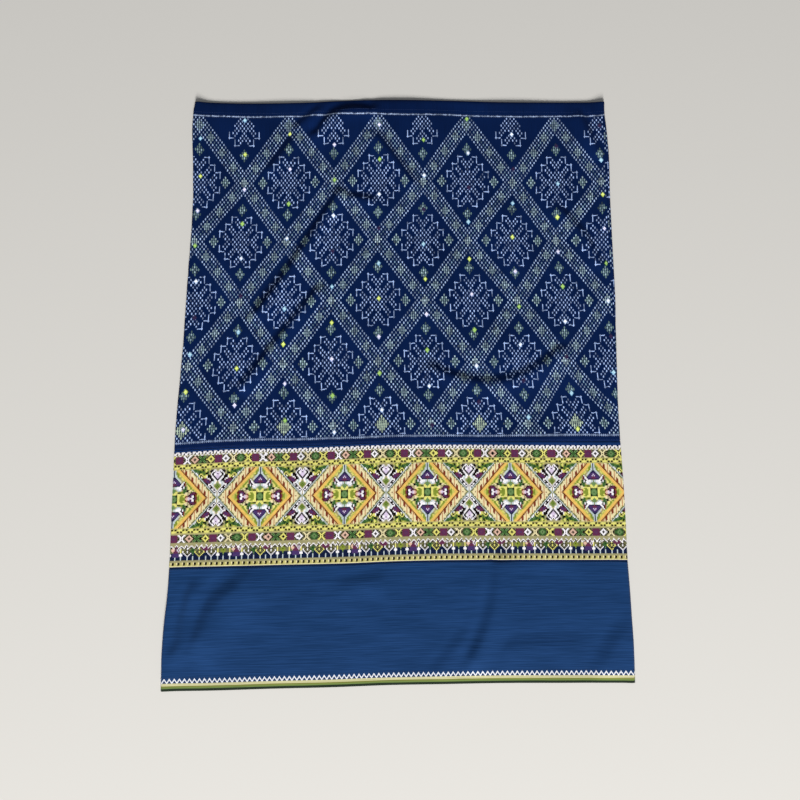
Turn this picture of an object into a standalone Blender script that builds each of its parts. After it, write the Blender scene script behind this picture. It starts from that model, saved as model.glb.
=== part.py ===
"""Sinh, a sewn tube skirt, laid out flat on its back with its waist towards +Y.

Three lengths of cloth make the tube, each one sewn into a ring and then to the next:
the tie-dyed body with its own plain border at the waist, the patterned band, and the
plain foot cloth with the woven border at its hem. The front layer lies on the back
layer and shows the skirt's creases; the back layer rests flat on the ground.

Units are metres. X runs across the skirt, Y from hem to waist, Z up from the ground.
"""

import math
from collections import namedtuple

import bmesh
import bpy

WALL = 0.0010
LAYER_GAP = 0.0006
FRONT_HEIGHT = 2 * WALL + LAYER_GAP
FOLD_HEIGHT = 0.0044
FOLD_RELAX = 0.018
SEAM_GAP = 0.0003

FRONT_COLUMNS = 44
BACK_COLUMNS = 6
FOLD_SEGMENTS = 5
ROW_PITCH = 0.0225
WELD_DISTANCE = 0.00001

# The side folds seen from above: how far each lies from the middle line, up the skirt.
Outline = namedtuple("Outline", "up left right")
OUTLINE = (
    Outline(-0.504, -0.3755, 0.3681),
    Outline(-0.480, -0.3766, 0.3687),
    Outline(-0.450, -0.3772, 0.3694),
    Outline(-0.410, -0.3764, 0.3694),
    Outline(-0.360, -0.3735, 0.3689),
    Outline(-0.300, -0.3718, 0.3677),
    Outline(-0.240, -0.3725, 0.3684),
    Outline(-0.180, -0.3728, 0.3682),
    Outline(-0.120, -0.3735, 0.3674),
    Outline(-0.060, -0.3722, 0.3672),
    Outline(0.000, -0.3697, 0.3686),
    Outline(0.060, -0.3678, 0.3706),
    Outline(0.125, -0.3666, 0.3730),
    Outline(0.190, -0.3655, 0.3738),
    Outline(0.250, -0.3637, 0.3743),
    Outline(0.310, -0.3638, 0.3748),
    Outline(0.360, -0.3660, 0.3764),
    Outline(0.410, -0.3695, 0.3772),
    Outline(0.452, -0.3716, 0.3752),
    Outline(0.480, -0.3706, 0.3740),
    Outline(0.504, -0.3678, 0.3748),
)

# The waist edge, the two seams and the hem edge: the height of each at nine stations
# from the left fold (0) to the right fold (1).
Line = namedtuple("Line", "across waist band_seam foot_seam hem")
LINES = (
    Line(0.000, 0.4978, -0.1300, -0.3182, -0.5040),
    Line(0.125, 0.4958, -0.1248, -0.3170, -0.5033),
    Line(0.250, 0.4972, -0.1233, -0.3155, -0.5014),
    Line(0.375, 0.5030, -0.1203, -0.3138, -0.4999),
    Line(0.500, 0.5040, -0.1172, -0.3108, -0.4976),
    Line(0.625, 0.5033, -0.1162, -0.3096, -0.4967),
    Line(0.750, 0.5004, -0.1161, -0.3097, -0.4964),
    Line(0.875, 0.5006, -0.1163, -0.3102, -0.4967),
    Line(1.000, 0.5013, -0.1166, -0.3108, -0.4973),
)

# The front layer's creases, each a soft ridge from its start to its end. Bow moves its
# middle to the left of its run, and spread is its half width.
Crease = namedtuple("Crease", "start end bow spread height")
CREASES = (
    Crease((-0.108, 0.318), (-0.240, 0.106), 0.004, 0.016, 0.0032),
    Crease((-0.112, 0.319), (-0.056, 0.308), 0.000, 0.014, 0.0018),
    Crease((-0.144, 0.137), (-0.260, -0.020), 0.000, 0.015, 0.0024),
    Crease((-0.188, 0.424), (-0.226, 0.370), 0.000, 0.014, 0.0016),
    Crease((-0.050, 0.480), (-0.146, 0.434), -0.022, 0.015, 0.0022),
    Crease((-0.148, 0.478), (-0.184, 0.446), 0.000, 0.013, 0.0014),
    Crease((-0.038, 0.427), (0.020, 0.346), 0.000, 0.015, 0.0018),
    Crease((0.060, 0.004), (0.270, 0.034), -0.038, 0.017, 0.0026),
    Crease((0.328, 0.468), (0.354, 0.404), 0.000, 0.014, 0.0016),
    Crease((0.284, 0.288), (0.343, 0.198), 0.006, 0.015, 0.0018),
    Crease((-0.242, -0.330), (-0.316, -0.418), -0.012, 0.017, 0.0022),
    Crease((-0.333, -0.358), (-0.350, -0.442), 0.000, 0.014, 0.0015),
    Crease((-0.080, -0.318), (-0.078, -0.372), 0.000, 0.014, 0.0015),
    Crease((0.161, -0.318), (0.117, -0.458), 0.010, 0.015, 0.0019),
    Crease((0.094, -0.437), (0.064, -0.472), 0.000, 0.013, 0.0012),
    Crease((0.349, -0.428), (0.326, -0.470), 0.000, 0.014, 0.0014),
)

# The three lengths of cloth, each with the lines that it runs between.
Cloth = namedtuple("Cloth", "node top bottom colour roughness")
CLOTHS = (
    Cloth("body_cloth", "waist", "band_seam", (0.010, 0.035, 0.135), 0.72),
    Cloth("chok_band", "band_seam", "foot_seam", (0.420, 0.380, 0.090), 0.80),
    Cloth("foot_cloth", "foot_seam", "hem", (0.018, 0.070, 0.200), 0.75),
)


def smooth_curve(table, column):
    """Returns the function that reads one column of a table along its first column,
    on a smooth curve through the rows."""
    keys = [row[0] for row in table]
    values = [getattr(row, column) for row in table]
    last = len(keys) - 1

    def slope(index):
        low, high = max(index - 1, 0), min(index + 1, last)
        return (values[high] - values[low]) / (keys[high] - keys[low])

    def read(key):
        index = max((i for i in range(last) if keys[i] <= key), default=0)
        step = keys[index + 1] - keys[index]
        t = min(max((key - keys[index]) / step, 0.0), 1.0)
        rise = 3 * t**2 - 2 * t**3
        lead = (t**3 - 2 * t**2 + t) * step * slope(index)
        trail = (t**3 - t**2) * step * slope(index + 1)
        return values[index] * (1 - rise) + values[index + 1] * rise + lead + trail

    return read


LEFT_FOLD = smooth_curve(OUTLINE, "left")
RIGHT_FOLD = smooth_curve(OUTLINE, "right")
LINE = {name: smooth_curve(LINES, name) for name in Line._fields[1:]}


def crease_rise(x, y):
    """How far the creases lift the front layer at a point."""
    rise = 0.0
    for crease in CREASES:
        (x0, y0), (x1, y1) = crease.start, crease.end
        run_x, run_y = x1 - x0, y1 - y0
        length = math.hypot(run_x, run_y)
        along = ((x - x0) * run_x + (y - y0) * run_y) / length
        aside = ((y - y0) * run_x - (x - x0) * run_y) / length
        share = min(max(along / length, 0.0), 1.0)
        aside -= crease.bow * 4 * share * (1 - share)
        beyond = along - share * length
        fade = math.exp(-(aside**2 + beyond**2) / crease.spread**2)
        rise = max(rise, crease.height * fade)
    return rise


def front_height(x, y):
    """The front layer's outer face: high where it rolls over the side folds, then
    resting on the back layer, with the creases on top."""
    inset = min(x - LEFT_FOLD(y), RIGHT_FOLD(y) - x)
    roll = math.exp(-((max(inset, 0.0) / FOLD_RELAX) ** 2))
    return FRONT_HEIGHT + (FOLD_HEIGHT - FRONT_HEIGHT) * roll + crease_rise(x, y)


def stations():
    """The places round the tube: across the front, over the right fold, back along
    the underside, and over the left fold. Each is (layer, share of its own run)."""
    places = [("front", i / FRONT_COLUMNS) for i in range(FRONT_COLUMNS)]
    places += [("right fold", i / FOLD_SEGMENTS) for i in range(FOLD_SEGMENTS)]
    places += [("back", i / BACK_COLUMNS) for i in range(BACK_COLUMNS)]
    places += [("left fold", i / FOLD_SEGMENTS) for i in range(FOLD_SEGMENTS)]
    return places + places[:1]


def wrap(cloth, place, rise_share):
    """The point of a cloth's outer face at a place round the tube, that share of the
    way up from its bottom line to its top line."""
    layer, share = place
    across = {"front": share, "right fold": 1.0, "back": 1 - share}.get(layer, 0.0)
    low = LINE[cloth.bottom](across) + (0.0 if cloth.bottom == "hem" else SEAM_GAP / 2)
    high = LINE[cloth.top](across) - (0.0 if cloth.top == "waist" else SEAM_GAP / 2)
    y = low + (high - low) * rise_share
    radius = FOLD_HEIGHT / 2
    left, right = LEFT_FOLD(y) + radius, RIGHT_FOLD(y) - radius
    x = left + (right - left) * across
    if layer == "front":
        return x, y, front_height(x, y)
    if layer == "back":
        return x, y, 0.0
    side = 1 if layer == "right fold" else -1
    crest = front_height(x, y)
    turn = math.pi * (share if side == 1 else 1 - share)
    bulge = side * radius * math.sin(turn)
    return x + bulge, y, crest * (1 + math.cos(turn)) / 2


def cloth_material(cloth):
    material = bpy.data.materials.new(cloth.node)
    material.use_nodes = True
    shader = material.node_tree.nodes["Principled BSDF"]
    shader.inputs["Base Color"].default_value = (*cloth.colour, 1.0)
    shader.inputs["Roughness"].default_value = cloth.roughness
    shader.inputs["Metallic"].default_value = 0.0
    material.diffuse_color = (*cloth.colour, 1.0)
    return material


def wrapped_cloth(cloth):
    """A length of cloth: a flat grid wrapped round the tube and closed at its side
    seam, then given its thickness inwards."""
    places = stations()
    around = len(places) - 1
    rows = round((LINE[cloth.top](0.5) - LINE[cloth.bottom](0.5)) / ROW_PITCH)
    grid = bmesh.new()
    bmesh.ops.create_grid(grid, x_segments=around, y_segments=rows, size=0.5)
    for vert in grid.verts:
        column = round((vert.co.x + 0.5) * around)
        row = round((vert.co.y + 0.5) * rows)
        vert.co = wrap(cloth, places[column], row / rows)
    bmesh.ops.remove_doubles(grid, verts=grid.verts, dist=WELD_DISTANCE)
    mesh = bpy.data.meshes.new(cloth.node)
    grid.to_mesh(mesh)
    grid.free()
    mesh.materials.append(cloth_material(cloth))
    mesh.shade_smooth()
    piece = bpy.data.objects.new(cloth.node, mesh)
    thickness = piece.modifiers.new("cloth wall", "SOLIDIFY")
    thickness.thickness = WALL
    thickness.offset = -1.0
    return piece


def main():
    for thing in list(bpy.data.objects):
        bpy.data.objects.remove(thing, do_unlink=True)
    skirt = bpy.data.collections.new("sinh_tube_skirt")
    bpy.context.scene.collection.children.link(skirt)
    for cloth in CLOTHS:
        skirt.objects.link(wrapped_cloth(cloth))


main()
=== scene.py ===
"""Sinh, a sewn tube skirt laid out flat: its cloths, their patterns and its sewing.

Units are metres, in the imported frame: X runs across the skirt, Y from hem to waist,
and Z up from the surface that it lies on. Each length of cloth is one ring, made as a
grid whose columns run round the skirt and whose rows run up it.
"""

import math
from collections import namedtuple

import bpy
import numpy as np
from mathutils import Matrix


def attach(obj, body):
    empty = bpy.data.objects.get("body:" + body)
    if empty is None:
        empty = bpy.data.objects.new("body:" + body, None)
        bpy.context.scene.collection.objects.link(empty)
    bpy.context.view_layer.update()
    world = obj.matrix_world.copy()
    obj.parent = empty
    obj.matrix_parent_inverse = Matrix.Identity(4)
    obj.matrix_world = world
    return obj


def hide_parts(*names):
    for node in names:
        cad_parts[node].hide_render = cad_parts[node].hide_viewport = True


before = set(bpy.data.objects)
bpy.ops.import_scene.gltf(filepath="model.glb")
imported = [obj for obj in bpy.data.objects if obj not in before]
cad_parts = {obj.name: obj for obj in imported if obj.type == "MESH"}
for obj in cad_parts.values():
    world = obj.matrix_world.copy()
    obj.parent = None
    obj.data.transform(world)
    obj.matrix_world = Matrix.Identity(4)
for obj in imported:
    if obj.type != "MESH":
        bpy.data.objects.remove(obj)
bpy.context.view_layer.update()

# ------------------------------------------------------------------ the tie-dyed body
# A length of fine plain-woven cotton, indigo dyed. Its weft was tied in bundles before
# the dyeing, so each pale mark is a short run of undyed thread with feathered ends.
# It is sewn into a ring with one side seam, and its waist edge is turned in by 20 mm.

# The flat tube: its width, the heights of the front layer's outer face and of the side
# folds, and how far in from a fold the front layer comes to rest.
FLAT_WIDTH = 0.745
FRONT_HEIGHT = 0.0026
FOLD_HEIGHT = 0.0044
FOLD_RELAX = 0.018
FOLD_RADIUS = FOLD_HEIGHT / 2
FOLD_BEND = math.pi * FOLD_RADIUS

# The side folds seen from above: how far each lies from the middle line, up the skirt.
Outline = namedtuple("Outline", "up left right")
OUTLINE = (
    Outline(-0.504, -0.3755, 0.3681),
    Outline(-0.480, -0.3766, 0.3687),
    Outline(-0.450, -0.3772, 0.3694),
    Outline(-0.410, -0.3764, 0.3694),
    Outline(-0.360, -0.3735, 0.3689),
    Outline(-0.300, -0.3718, 0.3677),
    Outline(-0.240, -0.3725, 0.3684),
    Outline(-0.180, -0.3728, 0.3682),
    Outline(-0.120, -0.3735, 0.3674),
    Outline(-0.060, -0.3722, 0.3672),
    Outline(0.000, -0.3697, 0.3686),
    Outline(0.060, -0.3678, 0.3706),
    Outline(0.125, -0.3666, 0.3730),
    Outline(0.190, -0.3655, 0.3738),
    Outline(0.250, -0.3637, 0.3743),
    Outline(0.310, -0.3638, 0.3748),
    Outline(0.360, -0.3660, 0.3764),
    Outline(0.410, -0.3695, 0.3772),
    Outline(0.452, -0.3716, 0.3752),
    Outline(0.480, -0.3706, 0.3740),
    Outline(0.504, -0.3678, 0.3748),
)

# The waist edge, the two seams and the hem edge: the height of each at nine stations
# from the left fold (0) to the right fold (1).
Line = namedtuple("Line", "across waist band_seam foot_seam hem")
LINES = (
    Line(0.000, 0.4978, -0.1300, -0.3182, -0.5040),
    Line(0.125, 0.4958, -0.1248, -0.3170, -0.5033),
    Line(0.250, 0.4972, -0.1233, -0.3155, -0.5014),
    Line(0.375, 0.5030, -0.1203, -0.3138, -0.4999),
    Line(0.500, 0.5040, -0.1172, -0.3108, -0.4976),
    Line(0.625, 0.5033, -0.1162, -0.3096, -0.4967),
    Line(0.750, 0.5004, -0.1161, -0.3097, -0.4964),
    Line(0.875, 0.5006, -0.1163, -0.3102, -0.4967),
    Line(1.000, 0.5013, -0.1166, -0.3108, -0.4973),
)

# The front layer's creases, each a soft ridge from its start to its end. Bow moves its
# middle to the left of its run, and spread is its half width.
Crease = namedtuple("Crease", "start end bow spread height")
CREASES = (
    Crease((-0.108, 0.318), (-0.240, 0.106), 0.004, 0.016, 0.0032),
    Crease((-0.112, 0.319), (-0.056, 0.308), 0.000, 0.014, 0.0018),
    Crease((-0.144, 0.137), (-0.260, -0.020), 0.000, 0.015, 0.0024),
    Crease((-0.188, 0.424), (-0.226, 0.370), 0.000, 0.014, 0.0016),
    Crease((-0.050, 0.480), (-0.146, 0.434), -0.022, 0.015, 0.0022),
    Crease((-0.148, 0.478), (-0.184, 0.446), 0.000, 0.013, 0.0014),
    Crease((-0.038, 0.427), (0.020, 0.346), 0.000, 0.015, 0.0018),
    Crease((0.060, 0.004), (0.270, 0.034), -0.038, 0.017, 0.0018),
    Crease((0.328, 0.468), (0.354, 0.404), 0.000, 0.014, 0.0016),
    Crease((0.284, 0.288), (0.343, 0.198), 0.006, 0.015, 0.0018),
    Crease((-0.254, -0.348), (-0.314, -0.426), -0.010, 0.028, 0.0022),
    Crease((-0.333, -0.358), (-0.350, -0.442), 0.000, 0.014, 0.0015),
    Crease((-0.353, -0.448), (-0.338, -0.440), 0.000, 0.017, 0.0010),
    Crease((-0.086, -0.352), (-0.040, -0.343), 0.000, 0.020, 0.0009),
    Crease((0.161, -0.318), (0.117, -0.458), 0.010, 0.018, 0.0019),
    Crease((0.094, -0.437), (0.064, -0.472), 0.000, 0.016, 0.0006),
    Crease((0.180, -0.447), (0.262, -0.445), 0.000, 0.022, 0.0007),
    Crease((0.351, -0.432), (0.326, -0.470), 0.000, 0.024, 0.0013),
)

# Each crease leans towards the waist: its far flank is steep, with a hollow at its
# foot, and its near flank is gentle. The lift is how many times its height in the table
# a crease rises. The others are shares of its spread and its rise, and the last is the
# deepest that a hollow may be.
LEAN = (-0.35, 0.94)
STEEP_SPREAD = 0.58
GENTLE_SPREAD = 1.20
CREASE_LIFT = 1.60
HOLLOW_PLACE = 1.05
HOLLOW_SPREAD = 0.45
HOLLOW_SHARE = 0.30
DEEPEST = 0.0009

# Slow waves in the front layer: length, heading in degrees, start and height.
Wave = namedtuple("Wave", "length heading start height")
WAVES = (
    Wave(0.145, 38, 0.4, 0.00022),
    Wave(0.093, 112, 1.9, 0.00016),
    Wave(0.061, 71, 4.2, 0.00009),
    Wave(0.210, 160, 2.7, 0.00020),
)

# Pressing has thinned the turned waist edge, which curves down to the layer below.
EDGE_FALL = 0.0006
EDGE_SPREAD = 0.0028


def smooth_curve(table, column):
    """Returns the function that reads one column of a table along its first column,
    on a smooth curve through the rows."""
    keys = np.array([row[0] for row in table])
    values = np.array([getattr(row, column) for row in table])
    low = np.maximum(np.arange(len(keys)) - 1, 0)
    high = np.minimum(np.arange(len(keys)) + 1, len(keys) - 1)
    slopes = (values[high] - values[low]) / (keys[high] - keys[low])

    def read(key):
        key = np.asarray(key, dtype=float)
        index = np.clip(np.searchsorted(keys, key, side="right") - 1, 0, len(keys) - 2)
        step = keys[index + 1] - keys[index]
        t = np.clip((key - keys[index]) / step, 0.0, 1.0)
        rise = 3 * t**2 - 2 * t**3
        lead = (t**3 - 2 * t**2 + t) * step * slopes[index]
        trail = (t**3 - t**2) * step * slopes[index + 1]
        return values[index] * (1 - rise) + values[index + 1] * rise + lead + trail

    return read


LEFT_FOLD = smooth_curve(OUTLINE, "left")
RIGHT_FOLD = smooth_curve(OUTLINE, "right")
LINE = {name: smooth_curve(LINES, name) for name in Line._fields[1:]}


def crease_rise(x, y):
    """How far the creases lift the front layer."""
    rise, fall = np.zeros_like(x), np.zeros_like(x)
    for crease in CREASES:
        (x0, y0), (x1, y1) = crease.start, crease.end
        run_x, run_y = x1 - x0, y1 - y0
        length = math.hypot(run_x, run_y)
        along = ((x - x0) * run_x + (y - y0) * run_y) / length
        aside = ((y - y0) * run_x - (x - x0) * run_y) / length
        share = np.clip(along / length, 0.0, 1.0)
        aside = aside - crease.bow * 4 * share * (1 - share)
        beyond = along - share * length
        lean = math.copysign(1, LEAN[1] * run_x - LEAN[0] * run_y)
        off = aside * lean / crease.spread
        spread = np.where(off > 0, STEEP_SPREAD, GENTLE_SPREAD)
        fade = np.exp(-((beyond / crease.spread) ** 2))
        lift = CREASE_LIFT * crease.height * fade
        rise = np.maximum(rise, lift * np.exp(-((off / spread) ** 2)))
        hollow = np.exp(-(((off - HOLLOW_PLACE) / HOLLOW_SPREAD) ** 2))
        fall = np.maximum(fall, lift * HOLLOW_SHARE * hollow)
    return rise - np.minimum(fall, rise * 0 + DEEPEST)


def wave_rise(x, y):
    """How far the slow waves lift or lower the front layer."""
    rise = np.zeros_like(x)
    for wave in WAVES:
        heading = math.radians(wave.heading)
        run = (x * math.cos(heading) + y * math.sin(heading)) / wave.length
        rise = rise + wave.height * np.sin(2 * math.pi * run + wave.start)
    return rise


def front_height(x, y):
    """The front layer's outer face: high where it rolls over the side folds, then
    resting on the back layer, with the creases and waves on top."""
    inset = np.maximum(np.minimum(x - LEFT_FOLD(y), RIGHT_FOLD(y) - x), 0.0)
    roll = np.exp(-((inset / FOLD_RELAX) ** 2))
    rest = FRONT_HEIGHT + (FOLD_HEIGHT - FRONT_HEIGHT) * roll
    waist = LINE["waist"](np.clip((x - LEFT_FOLD(y)) / FLAT_WIDTH, 0, 1))
    edge = EDGE_FALL * np.exp(-(((waist - y) / EDGE_SPREAD) ** 2))
    return rest + crease_rise(x, y) + wave_rise(x, y) * (1 - roll) - edge * (1 - roll)


def round_run(y):
    """The distance round the tube, and its part that is the front's flat run."""
    flat = RIGHT_FOLD(y) - LEFT_FOLD(y) - 2 * FOLD_RADIUS
    return 2 * (flat + FOLD_BEND), flat


def across_share(run, y):
    """How far a place round the tube lies from the left fold (0) to the right (1)."""
    whole, flat = round_run(y)
    run = np.mod(run, whole)
    front = run / flat
    back = 1 - (run - flat - FOLD_BEND) / flat
    return np.clip(np.where(run < flat + FOLD_BEND / 2, front, back), 0.0, 1.0)


def wrapped(run, y, depth):
    """The point at a distance round the tube from the start of the front's flat run,
    at a height up the skirt and a depth below the cloth's outer face."""
    whole, flat = round_run(y)
    run = np.mod(run, whole)
    left = LEFT_FOLD(y) + FOLD_RADIUS
    right = RIGHT_FOLD(y) - FOLD_RADIUS
    on_right = np.clip((run - flat) / FOLD_RADIUS, 0.0, math.pi)
    on_left = np.clip((whole - run) / FOLD_RADIUS, 0.0, math.pi)
    front = run < flat
    right_fold = (run >= flat) & (run < flat + FOLD_BEND)
    back = (run >= flat + FOLD_BEND) & (run < whole - FOLD_BEND)
    turn = np.where(front, 0.0, np.where(right_fold, on_right, on_left))
    turn = np.where(back, math.pi, turn)
    side = np.where(right_fold, 1.0, np.where(front | back, 0.0, -1.0))
    flat_x = np.where(front, left + run, right - (run - flat - FOLD_BEND))
    x = np.where(front | back, flat_x, np.where(right_fold, right, left))
    crest = front_height(x, y)
    x = x + side * (FOLD_RADIUS - depth) * np.sin(turn)
    z = crest * (1 + np.cos(turn)) / 2 - depth * np.cos(turn)
    return np.stack([x, y, z], axis=-1)


# A cloth's cut ends, turned over and inside: how far short of the edge each step is, and
# how deep it is below the outer face.
Step = namedtuple("Step", "short depth")
HEM_TURN = (
    Step(0.00050, 0.00000),
    Step(0.00015, 0.00015),
    Step(0.00000, 0.00050),
    Step(0.00015, 0.00085),
    Step(0.00060, 0.00100),
    Step(0.01000, 0.00104),
    Step(0.02000, 0.00108),
)
SEAM_TURN = (
    Step(0.00200, 0.00000),
    Step(0.00075, 0.00012),
    Step(0.00020, 0.00045),
    Step(0.00025, 0.00090),
    Step(0.00100, 0.00115),
    Step(0.00900, 0.00120),
)
# The side seam is a narrow notch down the cloth.
SEAM_NOTCH = 0.0005
NOTCH_SHARE = 0.25
# A point's height and its place across depend on each other, and settle in a few passes.
SETTLING_PASSES = 3


def ring_rows(low_turn, shares, high_turn):
    """The rows of a ring of cloth from its turned-in bottom to its turned-in top, each
    as its share of the way up, how far it moves back from its edge, and its depth."""
    rows = [(0.0, step.short, step.depth) for step in reversed(low_turn)]
    rows += [(share, 0.0, 0.0) for share in shares[1:-1]]
    rows += [(1.0, -step.short, step.depth) for step in high_turn]
    return np.array(rows)


def ring_levels(low_turn, edges, high_turn, step):
    """The woven level of each row of a ring: its edges, from the lowest to the highest,
    with the turned-in rows a small step apart past them."""
    below = edges[0] - step * np.arange(len(low_turn))[::-1]
    above = edges[-1] + step * np.arange(len(high_turn))
    return np.concatenate([below, edges[1:-1], above])


def ring_columns(first, last):
    """The columns round a ring, with two close to the side seam for its notch."""
    middle = np.arange(first + 1, last, dtype=float)
    return np.concatenate([[first, first + NOTCH_SHARE], middle, [last - NOTCH_SHARE]])


def ring_points(columns, rows, run_of, low_line, high_line, wander):
    """The points of a ring of cloth. Wander shifts each one's share up the skirt."""
    column = np.broadcast_to(columns, (len(rows), len(columns)))
    share = rows[:, :1] + wander(column, rows[:, :1]) * (rows[:, 2:] == 0)
    y = LINE[low_line](0.5) * (1 - share) + LINE[high_line](0.5) * share
    for _ in range(SETTLING_PASSES):
        across = across_share(run_of(column, y), y)
        y = LINE[low_line](across) * (1 - share) + LINE[high_line](across) * share
    y = y + rows[:, 1:2]
    depth = np.broadcast_to(rows[:, 2:], column.shape).copy()
    depth[:, 0] += SEAM_NOTCH
    return wrapped(run_of(column, y), y, depth)


def run_reader(columns, curves):
    """Returns the function that finds how far round the tube a column lies at a height.
    Columns go round from the side seam to itself; between them, each named column lies
    as far from the middle line as its curve says."""

    def run_of(column, y):
        places = [curve(y) - LEFT_FOLD(y) - FOLD_RADIUS for curve in curves]
        places.insert(0, places[-1] - round_run(y)[0])
        run = np.zeros_like(column)
        for k in range(len(columns) - 1):
            inside = (column >= columns[k]) & (column <= columns[k + 1])
            share = (column - columns[k]) / (columns[k + 1] - columns[k])
            run = np.where(inside, places[k] + (places[k + 1] - places[k]) * share, run)
        return run

    return run_of


# How much of the flat map's width the part from the left fold to the seam takes, and
# the bare margin round the map.
FRONT_MAP_SHARE = 0.64
MAP_MARGIN = 0.002


def ring_mesh(name, points, columns, last_column, run_of, levels):
    """A ring of quads through a grid of points, closed at its last column. It keeps
    its woven columns and rows as one UV map, and a flat one for baking."""
    rows, around = points.shape[:2]
    corner = np.arange(rows * around).reshape(rows, around)
    beside = np.roll(corner, -1, axis=1)
    faces = np.stack([corner[:-1], beside[:-1], beside[1:], corner[1:]], axis=-1)
    mesh = bpy.data.meshes.new(name)
    mesh.from_pydata(points.reshape(-1, 3).tolist(), [], faces.reshape(-1, 4).tolist())
    right, up = np.meshgrid(np.append(columns, last_column), levels)
    y = points[:, :, 1]
    whole, _ = round_run(y[:, :1])
    run = run_of(right, np.concatenate([y, y[:, :1]], axis=1))
    split = 1 - run[:, -1:] / whole
    run = (run - run[:, :1]) / whole
    across = np.where(run < split, run / split * (1 - FRONT_MAP_SHARE),
                      1 - (1 - run) / (1 - split) * FRONT_MAP_SHARE)
    across = MAP_MARGIN + (1 - 2 * MAP_MARGIN) * across
    lift = np.linspace(MAP_MARGIN, 1 - MAP_MARGIN, rows)[:, None] + 0 * right
    for layer, grids in (("woven", (right, up)), ("OFBake", (across, lift))):
        uv = [[grid[:-1, :-1], grid[:-1, 1:], grid[1:, 1:], grid[1:, :-1]] for grid in grids]
        uv = np.array(uv).transpose(2, 3, 1, 0)
        mesh.uv_layers.new(name=layer).uv.foreach_set("vector", uv.ravel())
    mesh.shade_smooth()
    return mesh


def paint(mesh, name, colours):
    """Gives each face of a mesh its own colour, as a named attribute."""
    layer = mesh.attributes.new(name, "FLOAT_COLOR", "CORNER")
    filled = np.concatenate([colours, np.ones((len(colours), 1))], axis=1)
    layer.data.foreach_set("color", np.repeat(filled, 4, axis=0).ravel())


def add_piece(mesh, material):
    """Links a finished mesh as a piece that rides on the skirt's only body."""
    piece = bpy.data.objects.new(mesh.name, mesh)
    bpy.context.scene.collection.objects.link(piece)
    mesh.materials.clear()
    mesh.materials.append(material)
    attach(piece, "root")
    return piece


def linear(hex_colour):
    """An sRGB hex colour as linear red, green, blue and a full alpha."""
    parts = [int(hex_colour[i : i + 2], 16) / 255 for i in (1, 3, 5)]
    parts = [p / 12.92 if p <= 0.04045 else ((p + 0.055) / 1.055) ** 2.4 for p in parts]
    return (*parts, 1.0)


def add_node(tree, kind, inputs=(), out=0, **settings):
    """Adds a node with its settings, and fills its inputs, by place or by name, from
    values or from other nodes' outputs. Returns one of its outputs, or all of them."""
    node = tree.nodes.new(kind)
    for name, value in settings.items():
        setattr(node, name, value)
    for key, value in inputs.items() if isinstance(inputs, dict) else enumerate(inputs):
        if isinstance(value, bpy.types.NodeSocket):
            tree.links.new(value, node.inputs[key])
        else:
            node.inputs[key].default_value = value
    return node.outputs if out is None else node.outputs[out]


# One repeat of the tie-dyed pattern is 48 cells each way, and a cell is 3.3 mm by
# 4.5 mm. Stars stand at its corners and its middle. This is a star's upper right
# quarter, from its middle column out: o is a tied dot, | and - thin lines, + a corner.
REPEAT = 48
HALF_REPEAT = REPEAT // 2
STAR_QUARTER = """
...--+......
..o..|......
.o.o.|......
o.o...--+...
.o...o..|...
o...o.o.|...
.o.o.o...--+
o.o.o...o..|
.o.o...o.o.|
o.o.o.o.o...
.o.o.o.o....
""".split()
LATTICE_REACH = 20
# The small diamonds in the lattice and beside the stars: the dye of each, and how far
# aside of a star's middle and above it the diamond lies.
DIAMONDS = (("flower", 18, 6), ("flower", 12, 12), ("flower", 6, 18), ("crossing", 24, 0),
            ("crossing", 0, 24), ("leaf", 14, 0), ("leaf", 0, 13))
DIAMOND_REACH = 2

# Where columns of the pattern lie: how far from the middle line each named one is, up
# the skirt. Past the right fold the seam's place counts on round the tube.
SEAM_COLUMN = 122.5
COLUMNS_ROUND = 452
STAR_COLUMNS = (SEAM_COLUMN - COLUMNS_ROUND, -96, -48, 0, 48, 96, SEAM_COLUMN)
Lie = namedtuple("Lie", "up far_left left middle right far_right seam")
LIES = (
    Lie(-0.130, -0.3640, -0.1938, -0.0300, 0.1325, 0.2955, 0.3870),
    Lie(-0.084, -0.3621, -0.1940, -0.0310, 0.1326, 0.2945, 0.3835),
    Lie(-0.030, -0.3610, -0.1958, -0.0350, 0.1290, 0.2870, 0.3710),
    Lie(0.021, -0.3572, -0.1985, -0.0372, 0.1273, 0.2815, 0.3680),
    Lie(0.128, -0.3515, -0.1990, -0.0375, 0.1235, 0.2825, 0.3668),
    Lie(0.237, -0.3568, -0.1980, -0.0388, 0.1190, 0.2744, 0.3668),
    Lie(0.345, -0.3540, -0.1958, -0.0369, 0.1215, 0.2809, 0.3680),
    Lie(0.430, -0.3572, -0.1980, -0.0378, 0.1210, 0.2809, 0.3690),
    Lie(0.504, -0.3605, -0.2005, -0.0388, 0.1210, 0.2810, 0.3697),
)
body_run = run_reader(STAR_COLUMNS, [smooth_curve(LIES, name) for name in Lie._fields[1:]])

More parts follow.
